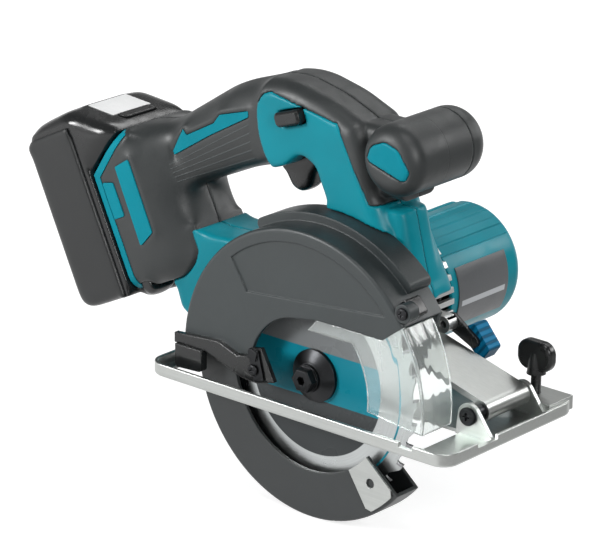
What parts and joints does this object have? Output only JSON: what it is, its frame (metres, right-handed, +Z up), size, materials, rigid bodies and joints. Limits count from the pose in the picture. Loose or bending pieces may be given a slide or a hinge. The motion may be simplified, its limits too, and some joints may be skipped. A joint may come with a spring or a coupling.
{
  "type": "cordless circular saw",
  "caption": "Cordless metal-cutting circular saw with a D-handle, front grip, toothed blade, swinging lower guard, clear cover, tilting base, motor and slide-on battery.",
  "frame": {"origin": "on the sole of the base, below the blade's axis, in the plane where the two handle shells meet", "axes": "+X is the cutting direction, +Y runs from the blade to the motor, +Z is up out of the sole"},
  "size_m": [0.3503, 0.1812, 0.2492],
  "materials": {
    "teal_shell": "semi-gloss moulded plastic",
    "teal_trim": "semi-gloss moulded plastic",
    "soft_grip": "matt overmould",
    "black_plastic": "matt moulded plastic",
    "case_black": "fine-grained moulded plastic",
    "guard_grey": "dark satin coating",
    "battery_shell": "fine-grained moulded plastic",
    "blank_label": "satin film",
    "plate_grey": "satin film",
    "clear_cover": "clear moulded plastic",
    "cast_aluminium": "satin cast",
    "sheet_steel": "satin plated",
    "blade_steel": "brushed",
    "dark_steel": "black oxide",
    "bright_steel": "ground",
    "stack_steel": "laminated",
    "circuit": "potted"
  },
  "bodies": {
    "saw_body": {"handle_shell_right": "teal_shell", "handle_shell_left": "teal_shell", "grip_overmould_right": "soft_grip", "grip_overmould_left": "soft_grip", "seat_frame": "teal_trim", "column_cap_right": "soft_grip", "column_cap_left": "soft_grip", "grip_inlays": "teal_trim", "side_panels": "teal_trim", "handle_screws": "dark_steel", "front_grip": "soft_grip", "front_grip_inset": "teal_trim", "front_grip_cap": "soft_grip", "switch_unit": "black_plastic", "controller": "circuit", "battery_terminal": "black_plastic", "gear_housing": "cast_aluminium", "motor_housing": "teal_shell", "motor_plate": "plate_grey", "stator": "stack_steel", "spindle_bearings": "bright_steel", "rotor_bearings": "bright_steel", "blade_case": "case_black", "clear_cover": "clear_cover", "cover_clip": "black_plastic", "case_skirt": "black_plastic", "skirt_plate": "dark_steel", "case_screws": "bright_steel", "foot_block": "black_plastic", "hinge_arm": "sheet_steel", "arm_screws": "bright_steel", "guard_circlip": "dark_steel", "guard_spring": "bright_steel", "depth_bolt": "bright_steel"},
    "spindle_set": {"spindle": "bright_steel", "spindle_gear": "bright_steel", "inner_flange": "bright_steel", "saw_blade": "blade_steel", "outer_flange": "dark_steel", "blade_bolt": "dark_steel"},
    "counter_set": {"countershaft": "bright_steel", "countershaft_gear": "bright_steel"},
    "rotor_set": {"rotor_shaft": "bright_steel", "rotor_stack": "stack_steel", "cooling_fan": "black_plastic"},
    "guard_set": {"lower_guard": "guard_grey", "guard_end_plate": "sheet_steel"},
    "base_set": {"base_plate": "sheet_steel", "hinge_pin": "dark_steel", "depth_guide": "sheet_steel"},
    "wing": {"wing_bolt": "black_plastic"},
    "depth_clamp": {"depth_lever": "black_plastic"},
    "shaft_lock": {"lock_lever": "sheet_steel", "lock_pad": "teal_trim"},
    "trigger_set": {"trigger": "black_plastic"},
    "lock_off": {"lock_off_button": "black_plastic"},
    "battery": {"battery_case": "battery_shell", "battery_cap": "black_plastic", "battery_label": "blank_label"},
    "battery_catch": {"battery_button": "black_plastic"}
  },
  "joints": [
    {"name": "blade_spin", "type": "hinge", "parent": "saw_body", "child": "spindle_set", "pos_m": [0, -0.035, 0.0175], "axis": [0, 1, 0], "continuous": true},
    {"name": "countershaft_spin", "type": "hinge", "parent": "saw_body", "child": "counter_set", "pos_m": [0.00393, 0, 0.03609], "axis": [0, 1, 0], "continuous": true},
    {"name": "rotor_spin", "type": "hinge", "parent": "saw_body", "child": "rotor_set", "pos_m": [-0.0047, 0.06, 0.0486], "axis": [0, 1, 0], "continuous": true},
    {"name": "guard_swing", "type": "hinge", "parent": "saw_body", "child": "guard_set", "pos_m": [0, -0.03, 0.0175], "axis": [0, 1, 0], "range_deg": [0, 115], "stiffness_Nm_per_rad": 0.12, "springref_deg": -57.3},
    {"name": "base_tilt", "type": "hinge", "parent": "saw_body", "child": "base_set", "pos_m": [0.098, 0.005, 0.0135], "axis": [0, -1, 0], "range_deg": [0, 18]},
    {"name": "wing_turn", "type": "hinge", "parent": "base_set", "child": "wing", "pos_m": [0.0985, 0.042, 0.02], "axis": [0, 0, 1], "range_deg": [0, 180]},
    {"name": "depth_clamp_turn", "type": "hinge", "parent": "saw_body", "child": "depth_clamp", "pos_m": [-0.06198, 0.035, 0.01629], "axis": [0, 1, 0], "range_deg": [0, 50]},
    {"name": "shaft_lock_press", "type": "hinge", "parent": "saw_body", "child": "shaft_lock", "pos_m": [0.043, 0.03, 0.042], "axis": [0, 1, 0], "range_deg": [0, 12], "stiffness_Nm_per_rad": 0.3, "springref_deg": -8.59},
    {"name": "trigger_pull", "type": "slide", "parent": "saw_body", "child": "trigger_set", "axis": [-1, 0, 0], "range_m": [0, 0.006], "stiffness_N_per_m": 900, "springref_m": -0.006},
    {"name": "lock_off_press", "type": "slide", "parent": "saw_body", "child": "lock_off", "axis": [0, 1, 0], "range_m": [0, 0.004], "stiffness_N_per_m": 700, "springref_m": -0.004},
    {"name": "battery_slide", "type": "slide", "parent": "saw_body", "child": "battery", "axis": [-0.4384, 0, 0.8988], "range_m": [0, 0.08]},
    {"name": "battery_catch_press", "type": "slide", "parent": "battery", "child": "battery_catch", "axis": [-0.0865, 0, -0.9962], "range_m": [0, 0.0025], "stiffness_N_per_m": 800, "springref_m": -0.003}
  ],
  "couplings": [
    {"joint": "countershaft_spin", "follows": "blade_spin", "ratio": -2.1667},
    {"joint": "rotor_spin", "follows": "blade_spin", "ratio": 6.0667}
  ]
}
